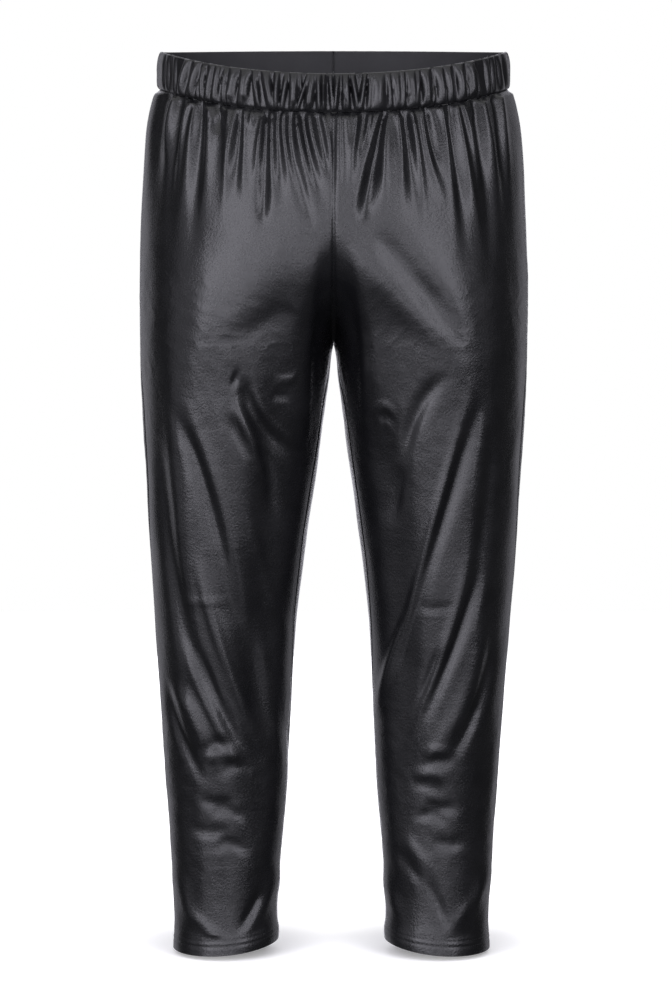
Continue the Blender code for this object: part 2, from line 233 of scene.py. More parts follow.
GATHERS = {"front_left": FRONT_LEFT_GATHERS, "front_right": FRONT_RIGHT_GATHERS}

FRONT_LEFT_CREASES = rows_of(
    Crease,
    (-78, 130, -78, 160, -79, 192, 5.5, -2.2),
    (-40, 120, -32, 160, -22, 196, 5, -1.4),
    (-44, 280, -76, 298, -131, 329, 13, -1.4),
    (-178, 385, -142, 482, -110, 620, 8, -3.6),
    (-160, 400, -126, 492, -92, 620, 7.5, 1.4),
    (-152, 540, -118, 676, -52, 806, 6.5, 2.4),
    (-130, 545, -92, 672, -36, 785, 15, -3.8),
    (-190, 380, -176, 570, -122, 780, 9, -3.6),
    (-164, 645, -142, 716, -98, 800, 5.5, 2.2),
    (-151, 652, -128, 716, -90, 785, 6, -2.8),
    (-176, 695, -152, 740, -126, 800, 8, 2.2),
    (-184, 690, -170, 747, -138, 812, 5.5, -2.4),
    (-149, 778, -128, 763, -102, 770, 5.5, -1.4),
    (-146, 787, -124, 776, -100, 784, 5, 1),
    (-130, 800, -108, 788, -88, 797, 5.5, -1.2),
    (-99, 356, -84, 405, -38, 448, 9.5, -4.6),
    (-84, 425, -68, 470, -56, 530, 9, -2.6),
    (-110, 384, -91, 428, -64, 492, 6, 2.8),
    (-91, 362, -73, 404, -34, 438, 3.8, 2.6),
    (-115, 402, -105, 424, -90, 452, 6, -1.8),
    (-66, 363, -54, 362, -43, 358, 3, 1.2),
    (-70, 380, -58, 379, -46, 385, 3.4, -1.6),
    (-106, 351, -109, 362, -113, 374, 3.6, -2),
    (-98, 505, -72, 578, -46, 660, 6.5, 1.3),
    (-84, 620, -67, 700, -54, 810, 6.5, 1.2),
    (-168, 606, -147, 608, -100, 608, 2.6, 0.7),
    (-150, 822, -128, 829, -104, 824, 5.5, -1.6),
    (-139, 842, -116, 838, -92, 850, 5, -1.5),
    (-160, 854, -138, 861, -112, 858, 6, -1.4),
    (-132, 879, -112, 874, -90, 886, 5.5, -1.5),
    (-176, 895, -165, 934, -150, 976, 7, 1.2),
    (-163, 946, -140, 968, -115, 988, 5, 1),
    (-61, 895, -72, 932, -102, 980, 7.5, 1.5),
    (-79, 919, -90, 948, -108, 974, 4.8, -1.6),
)
FRONT_RIGHT_CREASES = rows_of(
    Crease,
    (46, 104, 40, 145, 30, 190, 8, -3.6),
    (36, 190, 90, 250, 146, 330, 13, -3.4),
    (18, 216, 72, 276, 138, 330, 14, 2),
    (126, 355, 92, 398, 74, 465, 8, -3),
    (75, 455, 67, 489, 58, 524, 7.5, -1.3),
    (164, 375, 133, 480, 80, 635, 8, -3.6),
    (148, 380, 98, 566, 46, 730, 5.5, 2.6),
    (175, 400, 165, 520, 146, 630, 8, -2),
    (150, 545, 123, 660, 78, 765, 6, 1.8),
    (163, 560, 136, 650, 86, 760, 6.5, -3.6),
    (162, 605, 146, 710, 90, 800, 9, 1.8),
    (174, 635, 161, 715, 122, 790, 6.5, -2.8),
    (119, 655, 106, 689, 88, 725, 4.5, -1.6),
    (80, 610, 60, 671, 45, 735, 5, 2),
    (98, 780, 117, 771, 138, 776, 5, 1.1),
    (88, 796, 112, 783, 138, 786, 5.5, -1.1),
    (86, 802, 108, 797, 131, 804, 5, 1.3),
    (80, 809, 103, 810, 126, 821, 6, -1.1),
    (90, 612, 112, 614, 136, 611, 3, -1),
    (45, 399, 56, 391, 66, 402, 4.5, 1),
    (49, 411, 58, 403, 68, 413, 4.5, -0.8),
    (72, 864, 92, 886, 112, 910, 6, 0.9),
    (64, 876, 84, 900, 104, 924, 5.5, -0.8),
    (98, 828, 118, 835, 142, 831, 5.5, -1.6),
    (86, 846, 108, 843, 128, 853, 5, -1.5),
    (108, 868, 128, 874, 150, 867, 6, -1.3),
    (53, 895, 62, 930, 74, 960, 6.5, 1.3),
    (174, 895, 156, 934, 120, 980, 7, 1.3),
    (163, 906, 159, 936, 156, 964, 5, 0.8),
    (104, 914, 117, 942, 126, 970, 4.8, -1.4),
)
BACK_LEFT_CREASES = rows_of(
    Crease,
    (-8, 296, -66, 268, -138, 240, 10, -2.6),
    (-12, 262, -58, 232, -112, 214, 9, 2.2),
    (-16, 338, -82, 356, -152, 334, 9.5, -3.4),
    (-24, 362, -84, 374, -138, 356, 7.5, 2.2),
    (-40, 398, -92, 424, -146, 444, 8.5, -2.4),
    (-176, 470, -150, 520, -128, 566, 8, -2.8),
    (-58, 548, -110, 566, -172, 552, 6.5, -3.2),
    (-62, 566, -112, 582, -166, 570, 5, 2.4),
    (-60, 590, -114, 604, -170, 592, 5.5, -2.6),
    (-70, 612, -116, 622, -158, 614, 4.5, 1.8),
    (-78, 640, -112, 706, -122, 780, 8.5, 2.4),
    (-142, 650, -134, 720, -130, 800, 7, -2.2),
    (-146, 790, -126, 800, -100, 792, 3.6, -1.5),
    (-150, 812, -122, 822, -98, 814, 3.2, 1.3),
    (-152, 846, -126, 854, -94, 846, 3, -1.1),
    (-150, 878, -124, 886, -92, 880, 3, -1),
    (-166, 902, -150, 938, -126, 972, 5.5, 2.2),
    (-64, 904, -80, 940, -104, 974, 5.5, 2),
    (-112, 922, -118, 946, -124, 968, 4.4, -1.6),
)
BACK_RIGHT_CREASES = rows_of(
    Crease,
    (8, 300, 62, 276, 132, 250, 10.5, -2.8),
    (10, 254, 60, 226, 118, 206, 8, 2),
    (14, 342, 80, 358, 156, 330, 9, -3.2),
    (26, 366, 80, 380, 132, 364, 7, 2),
    (44, 404, 96, 422, 150, 436, 8, -2.2),
    (178, 462, 156, 514, 130, 560, 8.5, -2.6),
    (52, 552, 106, 562, 170, 546, 6, -3),
    (56, 572, 108, 580, 164, 562, 4.6, 2.2),
    (58, 598, 112, 608, 166, 596, 5.8, -2.8),
    (66, 622, 110, 630, 152, 622, 4.2, 1.6),
    (76, 648, 108, 712, 116, 792, 8, 2.2),
    (140, 640, 136, 712, 132, 786, 7.5, -2.4),
    (142, 780, 120, 792, 96, 786, 3.8, -1.5),
    (148, 806, 118, 816, 94, 806, 3.2, 1.2),
    (146, 838, 120, 848, 90, 842, 3, -1.1),
    (148, 870, 122, 880, 90, 872, 3, -1),
    (162, 900, 146, 936, 122, 970, 5, 2.2),
    (58, 906, 74, 942, 98, 972, 5.5, 2.2),
    (110, 926, 114, 948, 118, 970, 4.4, -1.6),
)
CREASES = {
    "front_left": FRONT_LEFT_CREASES,
    "front_right": FRONT_RIGHT_CREASES,
    "back_left": BACK_LEFT_CREASES,
    "back_right": BACK_RIGHT_CREASES,
}

# Gathers that nobody sees from the front: how many each back panel has, their lengths and how
# much more they lean further out, how far down the waist seam shows at the middle and at the
# side, and how far out it reaches, in millimetres. The trough beside each gather is this many
# times as long and as wide.
BACK_GATHERS = 17
BACK_LENGTHS = (22, 34, 55, 75, 100, 125)
BACK_LEAN = 0.16
BACK_SEAM_DOWN = 20.7
SIDE_SEAM_DOWN = 41.7
HALF_WAIST = 192.0
BACK_TROUGH_LENGTH = 1.1
BACK_TROUGH_WIDTH = 1.15

# How a crease is drawn: the steps of its curve, how many of its widths it reaches, the shares of
# its length over which it grows and fades, and over how many metres it fades towards a seam, the
# waist or the hem. A gather widens on its way down.
CREASE_STEPS = 14
CREASE_REACH = 3.2
CREASE_STRENGTH = 1.5
CREASE_FADE_IN = (-0.05, 0.35)
CREASE_FADE_OUT = (0.60, 1.05)
CREASE_SEAM_FADE = 0.0060
CREASE_HEM_FADE = 0.004
GATHER_STRENGTH = 1.6
GATHER_START_WIDTH = 0.85
GATHER_SPREAD = 0.75
GATHER_FADE_START = 0.40
GATHER_SEAM_FADE = 0.0022
GATHER_WAIST_FADE = 0.006
GATHER_AT_WAIST = 0.35

# How the cloth turns in at the waist seam, and stays level along it
WAIST_ROLL_DEPTH = 0.0024
WAIST_ROLL_WIDTH = 0.0030
WAIST_LEVEL_WIDTH = 0.0035

# The cloth's soft unevenness
UNEVEN_SIZE = 0.032
UNEVEN_STRETCH = 1.8
UNEVEN_LIFT = 0.0008

# Round the crotch: a hollow down the centre seam and a fold on each side of it. Their depths are
# metres. From and to which distance down they deepen, fade and widen, and how wide they are and
# where the folds start, is in millimetres as the viewer sees it.
CROTCH_HOLLOW = 0.0060
CROTCH_FOLD = 0.0125
CROTCH_DEEPENS = (200, 320)
CROTCH_FADES = (345, 470)
CROTCH_WIDENS = (200, 335)
HOLLOW_WIDTH = 7.0
HOLLOW_WIDENING = 17.0
FOLD_START_LEFT = 20.0
FOLD_START_RIGHT = 25.0
FOLD_WIDENING = 13.0
FOLD_INNER_WIDTH = 10.0
FOLD_OUTER_WIDTH = 21.0

# Long soft hollows along the inner legs, and soft ridges along the outer ones
HOLLOWS = rows_of(
    Crease,
    (-50, 330, -70, 600, -82, 930, 26, -9.5),
    (46, 330, 66, 600, 76, 930, 24, -8),
    (-174, 300, -172, 560, -150, 880, 24, 5),
    (160, 300, 158, 560, 140, 880, 22, 3),
)

# Fine crumples, longer across the leg than down it, that slant a little. Zones give how strong
# they are at each distance down, in millimetres as the viewer sees it.
CRUMPLE_ACROSS = 0.021
CRUMPLE_DOWN = 0.015
CRUMPLE_LIFT = 0.00028
CRUMPLE_SLANT = 12
CRUMPLE_SOFTNESS = 0.01
CRUMPLE_ZONES = (
    (60, 0.10),
    (190, 0.25),
    (270, 0.90),
    (420, 1.00),
    (520, 0.30),
    (690, 0.35),
    (760, 1.00),
    (880, 1.00),
    (960, 0.40),
)

# The waistband's gathers in front: where each ridge leaves the seam and reaches the top edge and
# its half width, in millimetres as the viewer in front sees them, its strength, and which part of
# the band's height it has, from the seam at 0 to the top edge at 1. Most have all of it.
SEAM = -0.3
TOP = 1.3
BandRidge = namedtuple("BandRidge", "foot head width strength low high", defaults=(SEAM, TOP))
BAND_RIDGES = rows_of(
    BandRidge,
    (-188, -187, 1.3, 0.5),
    (-184, -183, 1.3, 0.4),
    (-177, -175, 1.3, 0.3),
    (-170, -161, 2.2, 1.1),
    (-160, -150, 2.4, 1.0),
    (-151, -146, 1.4, 0.7, SEAM, 0.45),
    (-146, -143, 1.8, 0.9, SEAM, 0.85),
    (-141, -134, 2.4, 0.8),
    (-133, -127, 2.6, 0.9),
    (-127, -123, 1.3, 0.9, 0.6),
    (-122, -118, 1.8, 1.1, SEAM, 0.9),
    (-117, -109, 3.8, 0.9, 0.15),
    (-117, -113, 1.3, 0.8, SEAM, 0.4),
    (-104, -100, 2.0, 0.9),
    (-101, -96, 3.5, 1.1, 0.2),
    (-102, -96, 1.3, 0.9, SEAM, 0.35),
    (-83, -88, 2.2, 1.0),
    (-82, -85, 1.3, 0.9, SEAM, 0.6),
    (-86, -83, 1.3, 0.7, 0.7),
    (-68, -76, 3.3, 1.1),
    (-64, -62, 2.2, 1.2),
    (-58, -51, 2.0, 0.9, SEAM, 0.9),
    (-47, -46, 1.8, 0.9),
    (-45, -42, 2.6, 1.1, 0.15),
    (-36, -37, 1.5, 0.7, 0.55),
    (-41, -27, 1.5, 0.9),
    (-29, -23, 3.3, 1.1, 0.1),
    (-28, -30, 1.3, 0.8, SEAM, 0.5),
    (-16, -17, 2.2, 1.1),
    (-11, -11, 1.7, 1.3),
    (-1, -4, 1.8, 0.8),
    (2, 3, 1.8, 0.9),
    (1, 5, 2.1, 1.1),
    (8, 7, 1.3, 0.5, 0.5),
    (12, 11, 1.7, 1.3),
    (16, 14, 2.0, 1.4),
    (27, 20, 2.2, 1.1),
    (29, 35, 2.0, 1.1),
    (31, 30, 1.3, 0.8, SEAM, 0.35),
    (39, 41, 2.0, 0.8),
    (49, 50, 5.5, 1.2),
    (63, 60, 2.4, 1.0),
    (72, 68, 3.8, 1.0),
    (69, 71, 1.3, 0.8, SEAM, 0.4),
    (77, 76, 2.0, 1.1),
    (83, 82, 2.2, 0.9, 0.3),
    (89, 85, 3.8, 1.1),
    (92, 93, 2.0, 0.9),
    (100, 102, 1.5, 0.8, SEAM, 0.45),
    (105, 101, 3.5, 1.1),
    (110, 111, 1.3, 0.9, SEAM, 0.4),
    (122, 116, 3.3, 1.1),
    (124, 121, 1.3, 0.9, SEAM, 0.5),
    (130, 125, 2.9, 1.2),
    (143, 138, 2.9, 1.2),
    (148, 146, 1.3, 0.7, SEAM, 0.4),
    (155, 151, 2.9, 1.0, 0.1),
    (161, 153, 1.5, 0.9, SEAM, 0.8),
    (173, 168, 1.8, 0.5),
    (179, 175, 1.5, 0.4),
    (187, 181, 1.5, 0.5),
    (193, 188, 1.5, 0.5),
)
BACK_BAND_RIDGES = 56
BACK_BAND_HALF_WIDTH = 196.0
BAND_RIDGE_LIFT = 0.0060
BAND_TUCK = 0.0040
BAND_RIDGE_SPREAD = 1.8
BAND_RIDGE_FADE = 0.14
BAND_EDGE_CREST = 0.25
BAND_CREST_END = 0.02
CREST_BLEND = 3.5
BAND_EDGE_ROUND = 0.0016
BAND_EDGE_CLOSING = 0.96
BAND_INNER_ROLL = 0.8
BAND_SEAM_ROLL = 0.0014
BAND_SEAM_ROLL_WIDTH = 0.0022
BAND_END_GAP = 0.000002
BAND_END_GROOVE = 0.0016
BAND_END_GROOVE_WIDTH = 0.0010

# Hems: a turned edge held by two rows of stitches
HEM_TURN = 0.0185
HEM_STEP = 0.00025
HEM_STEP_SOFTNESS = 0.0012
STITCH_ROWS = (0.0100, 0.0160)
STITCH_GROOVE = 0.00045
STITCH_GROOVE_WIDTH = 0.0011
STITCH_SPACING = 0.0031
STITCH_LENGTH = 0.0023
STITCH_THICKNESS = 0.00042
STITCH_RISE = 0.15
STITCH_AIM = 0.25

# Cloth: BLACK is where its coating is whole, and WORN_BLACK where it is rubbed. Change is how far
# the roughness varies. Grain and crumple are heights as shares of bump, which is in metres.
BLACK = (0.0055, 0.0056, 0.0064)
WORN_BLACK = (0.0085, 0.0086, 0.0096)
Cloth = namedtuple("Cloth", "name dark light roughness change grain crumple bump")
LEG_CLOTH = Cloth("leg_cloth_coated", BLACK, WORN_BLACK, 0.27, 0.10, 0.9, 0.6, 0.00035)
BAND_CLOTH = Cloth("waistband_cloth_coated", BLACK, WORN_BLACK, 0.29, 0.10, 0.9, 0.6, 0.00032)
KNIT_DARK = (0.020, 0.020, 0.022)
KNIT_LIGHT = (0.030, 0.030, 0.032)
BACKING = Cloth("knit_backing", KNIT_DARK, KNIT_LIGHT, 0.75, 0.10, 1.0, 0.4, 0.00018)
THREAD_DARK = (0.014, 0.014, 0.016)
THREAD_LIGHT = (0.022, 0.022, 0.024)
THREAD = Cloth("hem_thread", THREAD_DARK, THREAD_LIGHT, 0.55, 0.10, 1.0, 0.2, 0.00010)
CLOTH_SPECULAR = 0.55
GRAIN_SCALE = 420.0
CRUMPLE_SCALE = 70.0
CRUMPLE_SQUEEZE = (0.55, 0.55, 1.7)
WEAR_SCALE = 24.0
WEAR_RANGE = (0.35, 0.70)

# What each panel was cut to, flat: width at the hips, length from waist seam to hem, and area
FRONT_CUT = (0.335, 0.935, 0.225)
BACK_CUT = (0.385, 0.965, 0.270)
PANEL_CUTS = {
    "front_left": FRONT_CUT,
    "front_right": FRONT_CUT,
    "back_left": BACK_CUT,
    "back_right": BACK_CUT,
}

# Floor, and the shade on it round each hem: how far behind the hem's middle it lies, how far out
# it is darkest and ends, and how dark it gets
FLOOR_HEIGHT = -0.9722
FLOOR_REACH = 4.0
FLOOR_WHITE = (0.9, 0.9, 0.9, 1.0)
FLOOR_GLOW = 0.60
HEM_MIDDLES = (-0.1210, 0.1162)
SHADE_BACK = 0.050
SHADE_INNER = 0.045
SHADE_OUTER = 0.165
SHADE_DARKEST = 0.35

# Studio: softboxes on a ball round the garment. Azimuth 0 is straight in front and grows to the
# right, rise is above level, width and height are angles, all in degrees.
STUDIO_RADIUS = 3.0
STUDIO_CENTRE = (0.0, 0.0, -0.45)
Softbox = namedtuple("Softbox", "name azimuth rise width height brightness")
SOFTBOXES = rows_of(
    Softbox,
    ("front_left_box", -38, 14, 24, 52, 4.1),
    ("front_inner_left_box", -14, 4, 17, 42, 3.4),
    ("front_inner_right_box", 8, 2, 15, 38, 2.9),
    ("front_right_box", 34, 15, 24, 50, 3.6),
    ("front_high_box", 0, 46, 40, 20, 0.9),
    ("low_left_box", -32, -28, 32, 22, 0.6),
    ("low_right_box", 13, -28, 34, 22, 0.5),
    ("left_box", -70, 8, 28, 50, 0.55),
    ("right_box", 64, 14, 22, 44, 0.4),
    ("left_back_box", -143, 0, 34, 70, 0.5),
    ("right_back_box", 143, 0, 30, 70, 0.4),
    ("back_high_box", 180, 45, 80, 30, 0.5),
    ("back_box", 180, 5, 30, 60, 1.6),
)
OVERHEAD_ENERGY = 1.3
OVERHEAD_ANGLE = math.radians(100)
ROOM_BRIGHTNESS = 0.055
LIGHT_TINT = (0.915, 0.900, 1.0)
WHITE = (1.0, 1.0, 1.0, 1.0)


def smoothstep(low, high, value):
    share = np.clip((value - low) / (high - low), 0.0, 1.0)
    return share * share * (3.0 - 2.0 * share)


def bell(off, width):
    """1 in the middle, fading evenly on both sides to about a third at this width."""
    return np.exp(-((off / width) ** 2))


def between(start, end, share):
    """The value at this share of the way from start to end."""
    return start + (end - start) * share


def read_table(table, column, heights):
    """A column of a table at these heights, on a smooth curve through its rows."""
    known = np.array([row.height for row in table])
    values = np.array([getattr(row, column) for row in table])
    slopes = np.gradient(values, known)
    heights = np.clip(heights, known[0], known[-1])
    below = np.clip(np.searchsorted(known, heights) - 1, 0, len(known) - 2)
    step = known[below + 1] - known[below]
    part = (heights - known[below]) / step
    rise = part * part * (3.0 - 2.0 * part)
    lead = part * (1.0 - part) ** 2 * step * slopes[below]
    trail = part * part * (part - 1.0) * step * slopes[below + 1]
    return values[below] * (1.0 - rise) + values[below + 1] * rise + lead + trail


def form_at(heights, columns):
    """These columns of the leg's form, at each height."""
    return [read_table(SECTIONS, column, heights) for column in columns.split()]


def rounded(cosine, sine, fullness):
    """A circle's point, pushed out towards the corners of its square."""
    return cosine * (1.0 + fullness * sine**2), sine * (1.0 + fullness * cosine**2)


def leg_ring(heights, angles):
    """Points on a right leg's form. Angle 0 is outermost, and positive angles are in front."""
    outer, inner, front, back, fullness = form_at(heights, "outer inner front back fullness")
    across, along = rounded(np.cos(angles), np.sin(angles), fullness)
    x = (outer + inner) / 2 + (outer - inner) / 2 * across
    y = np.where(along > 0, -front * along, -back * along)
    return x, y


def middle_angle(heights):
    """The angle where a leg's ring meets the middle plane: half a turn, below the crotch."""
    outer, inner, fullness = form_at(heights, "outer inner fullness")
    reach = np.clip((HALF_GAP - (outer + inner) / 2) / ((outer - inner) / 2), -1.0, 1.0)
    cosine = reach.copy()
    for _ in range(SETTLING_ROUNDS):
        miss = cosine * (1.0 + fullness * (1.0 - cosine**2)) - reach
        cosine = cosine - miss / (1.0 + fullness * (1.0 - 3.0 * cosine**2))
    return np.arccos(np.clip(cosine, -1.0, 1.0))


def gap_angle(heights, angles):
    """Half the seam gap, as a turn of the leg's ring at these angles."""
    turn = 0.001
    x0, y0 = leg_ring(heights, angles - turn)
    x1, y1 = leg_ring(heights, angles + turn)
    return HALF_GAP * 2 * turn / np.hypot(x1 - x0, y1 - y0)


def panel_angles(is_front, across, heights):
    """The ring's angle for a share of the way across a panel, from side seam to inner edge."""
    way = 1.0 if is_front else -1.0
    side = np.radians(read_table(SEAM_TURNS, "side", heights))
    inseam = np.radians(read_table(SEAM_TURNS, "inseam", heights))
    below_crotch = heights <= CROTCH + TINY
    edge = np.where(below_crotch, way * math.pi - inseam, way * middle_angle(heights))
    start = side + way * gap_angle(heights, side)
    finish = edge - way * np.where(below_crotch, gap_angle(heights, edge), 0.0)
    return between(start, finish, across)


def waist_dip(sine):
    """How far the waist dips in front and rises behind, from the sine of the ring's angle."""
    size = np.abs(sine)
    front = -FRONT_DIP * size**FRONT_DIP_POWER
    back = BACK_RISE * size**BACK_RISE_POWER
    return np.where(sine > 0, front, back)


def edge_height(heights, angles):
    """Real heights: the waist seam dips in front and rises behind, and the hem tilts."""
    sine = np.sin(angles)
    tilt = HEM_LIFT - HEM_SIDE_TILT * np.cos(angles) - HEM_FRONT_DROP * sine**2
    waist_share = smoothstep(DIP_ENDS, WAIST_SEAM, heights)
    hem_share = 1.0 - smoothstep(HEM, HEM_TILT_STARTS, heights)
    return heights + waist_dip(sine) * waist_share + tilt * hem_share


def form_point(heights, angles):
    x, y = leg_ring(heights, angles)
    return np.stack([x, y, edge_height(heights, angles)], axis=-1)


def outward(heights, angles):
    """Unit normals of the leg's form."""
    rise = 0.0008
    turn = 0.006
    along = form_point(heights + rise, angles) - form_point(heights - rise, angles)
    around = form_point(heights, angles + turn) - form_point(heights, angles - turn)
    normal = np.cross(along, around)
    return normal / np.linalg.norm(normal, axis=-1, keepdims=True)


def seen(points, is_front):
    """Where a viewer in front, or one behind, sees points: millimetres right and down."""
    forward = EYE_DISTANCE + (points[:, 1] if is_front else -points[:, 1])
    rise = points[:, 2] - EYE_HEIGHT
    depth = forward * math.cos(EYE_TILT) - rise * math.sin(EYE_TILT)
    up = forward * math.sin(EYE_TILT) + rise * math.cos(EYE_TILT)
    right = (points[:, 0] - EYE_SIDE) / depth * VIEW_RANGE + EYE_SIDE
    down = VIEW_TOP - up / depth * VIEW_RANGE
    return right / MM, down / MM


def crease_path(crease, share):
    """Points, right and down, on the smooth curve through a crease's start, bend and end."""
    start, bend, end = np.array(crease[:6], dtype=float).reshape(3, 2, 1)
    turn = 2 * bend - (start + end) / 2
    return (1 - share) ** 2 * start + 2 * share * (1 - share) * turn + share**2 * end


def crease_lift(right, down, creases, is_gather):
    """How far creases push each seen point out. A gather is strongest where it starts."""
    spots = np.stack([right, down])
    lift = np.zeros_like(right)
    for crease in creases:
        path = crease_path(crease, np.linspace(0.0, 1.0, CREASE_STEPS + 1))
        reach = CREASE_REACH * crease.width
        low = path.min(axis=1, keepdims=True) - reach
        high = path.max(axis=1, keepdims=True) + reach
        near = np.nonzero(((spots > low) & (spots < high)).all(axis=0))[0]
        beside = np.full(len(near), np.inf)
        share = np.zeros(len(near))
        for step in range(CREASE_STEPS):
            start = path[:, step, None]
            run = path[:, step + 1, None] - start
            off = spots[:, near] - start
            along = np.clip((off * run).sum(axis=0) / (run**2).sum(), 0.0, 1.0)
            gap = np.hypot(*(off - along * run))
            share = np.where(gap < beside, (step + along) / CREASE_STEPS, share)
            beside = np.minimum(gap, beside)
        if is_gather:
            width = crease.width * (GATHER_START_WIDTH + GATHER_SPREAD * share)
            fade = 1.0 - smoothstep(GATHER_FADE_START, 1.0, share)
        else:
            width = crease.width
            fade = smoothstep(*CREASE_FADE_IN, share) * (1.0 - smoothstep(*CREASE_FADE_OUT, share))
        lift[near] += crease.lift * MM * bell(beside, width) * fade
    return lift


def back_gathers(name):
    """Gathers for a back panel, as uneven as those in front, with a trough beside each."""
    mirror = 1.0 if name.endswith("right") else -1.0
    dice = random.Random(name + " gathers")
    gathers = []
    for number in range(BACK_GATHERS):
        share = (number + 0.5 + dice.uniform(-0.32, 0.32)) / BACK_GATHERS
        x = HALF_WAIST * math.sin(share * math.pi / 2)
        down = between(BACK_SEAM_DOWN, SIDE_SEAM_DOWN, (x / HALF_WAIST) ** 2)
        length = dice.choice(BACK_LENGTHS) * dice.uniform(0.8, 1.2)
        lean = mirror * (BACK_LEAN * x * length / 100 + dice.uniform(-4, 4))
        bend = lean * dice.uniform(0.35, 0.6)
        width = dice.uniform(2.8, 4.4)
        ridge = (mirror * x, length, width, dice.uniform(1.2, 2.3))
        beside = mirror * (x + dice.uniform(5.5, 7.5))
        deep = dice.uniform(-3.2, -1.6)
        trough = (beside, BACK_TROUGH_LENGTH * length, BACK_TROUGH_WIDTH * width, deep)
        for start, tall, wide, lift in (ridge, trough):
            middle = (start + bend, down + tall / 2)
            gathers.append(Crease(start, down, *middle, start + lean, down + tall, wide, lift))
    return gathers


def uneven(points, size):
    """Soft unevenness from -1 to 1, on spots this far apart and longer down the leg."""
    tall = UNEVEN_STRETCH * size
    return np.array([noise.noise(Vector((x / size, y / size, z / tall))) for x, y, z in points])


def crumple_lift(points, down):
    """Fine crumples: soft creases where a noise crosses zero, stronger in some zones."""
    lengths, strengths = zip(*CRUMPLE_ZONES)
    strength = np.interp(down, lengths, strengths)
    wave = []
    for x, y, z in points:
        slant = z * CRUMPLE_SLANT
        spot = (x / CRUMPLE_ACROSS + slant, y / CRUMPLE_ACROSS, z / CRUMPLE_DOWN)
        wave.append(noise.noise(Vector(spot)))
    ridge = 1.0 - 2.0 * np.sqrt(np.abs(np.array(wave)) + CRUMPLE_SOFTNESS)
    return CRUMPLE_LIFT * strength * ridge


def crotch_lift(right, down):
    """The cloth runs flat to a fold on each side of the centre seam, and turns in between them."""
    depth = smoothstep(*CROTCH_DEEPENS, down) * (1.0 - smoothstep(*CROTCH_FADES, down))
    widening = smoothstep(*CROTCH_WIDENS, down)
    hollow = bell(right, HOLLOW_WIDTH + HOLLOW_WIDENING * widening)
    start = np.where(right < 0, FOLD_START_LEFT, FOLD_START_RIGHT)
    beside = np.abs(right) - (start + FOLD_WIDENING * widening)
    fold = bell(beside, np.where(beside < 0, FOLD_INNER_WIDTH, FOLD_OUTER_WIDTH))
    return depth * (CROTCH_FOLD * fold - CROTCH_HOLLOW * hollow)


def panel_rows():
    """Nominal heights of a panel's rows, from the waist seam to the hem."""
    falls = np.linspace(0, 1, GATHER_ROWS + 1) ** GATHER_ROWS_POWER
    gather = between(WAIST_SEAM, GATHER_ROWS_END, falls)
    rises = np.linspace(1, 0, SEAT_ROWS + 1)[1:] ** SEAT_ROWS_POWER
    seat = between(CROTCH, GATHER_ROWS_END, rises)
    leg = np.linspace(CROTCH, HEM_ROWS_START, LEG_ROWS + 1)[1:]
    hem = np.linspace(HEM_ROWS_START, HEM, HEM_ROWS + 1)[1:]
    return np.concatenate([gather, seat, leg, hem])


def panel_arc(is_front, heights):
    """How wide a panel is round the leg at these heights."""
    across = np.linspace(0.0, 1.0, ARC_POINTS)[None, :]
    rows = np.repeat(heights[:, None], ARC_POINTS, axis=1)
    x, y = leg_ring(rows, panel_angles(is_front, across, rows))
    return np.hypot(np.diff(x, axis=1), np.diff(y, axis=1)).sum(axis=1)


def column_share(column, arc):
    """Share of the way across a panel: close columns along both seams, even ones between."""
    count = len(EDGE_COLUMNS) - 1
    steps = np.arange(count + 1)
    near = EDGE_COLUMNS[-1] / arc
    even = near + (1 - 2 * near) * (column - count) / (PANEL_COLUMNS - 2 * count)
    side = np.interp(column, steps, EDGE_COLUMNS) / arc
    inner = 1 - np.interp(PANEL_COLUMNS - column, steps, EDGE_COLUMNS) / arc
    return np.where(column < count, side, np.where(column > PANEL_COLUMNS - count, inner, even))


def hem_lift(heights):
    """The turned hem stands out a little, and each row of stitches draws it in."""
    above = heights - HEM
    softness = HEM_STEP_SOFTNESS
    lift = HEM_STEP * (1.0 - smoothstep(HEM_TURN - softness, HEM_TURN + softness, above))
    for row in STITCH_ROWS:
        lift -= STITCH_GROOVE * bell(above - row, STITCH_GROOVE_WIDTH)
    return lift


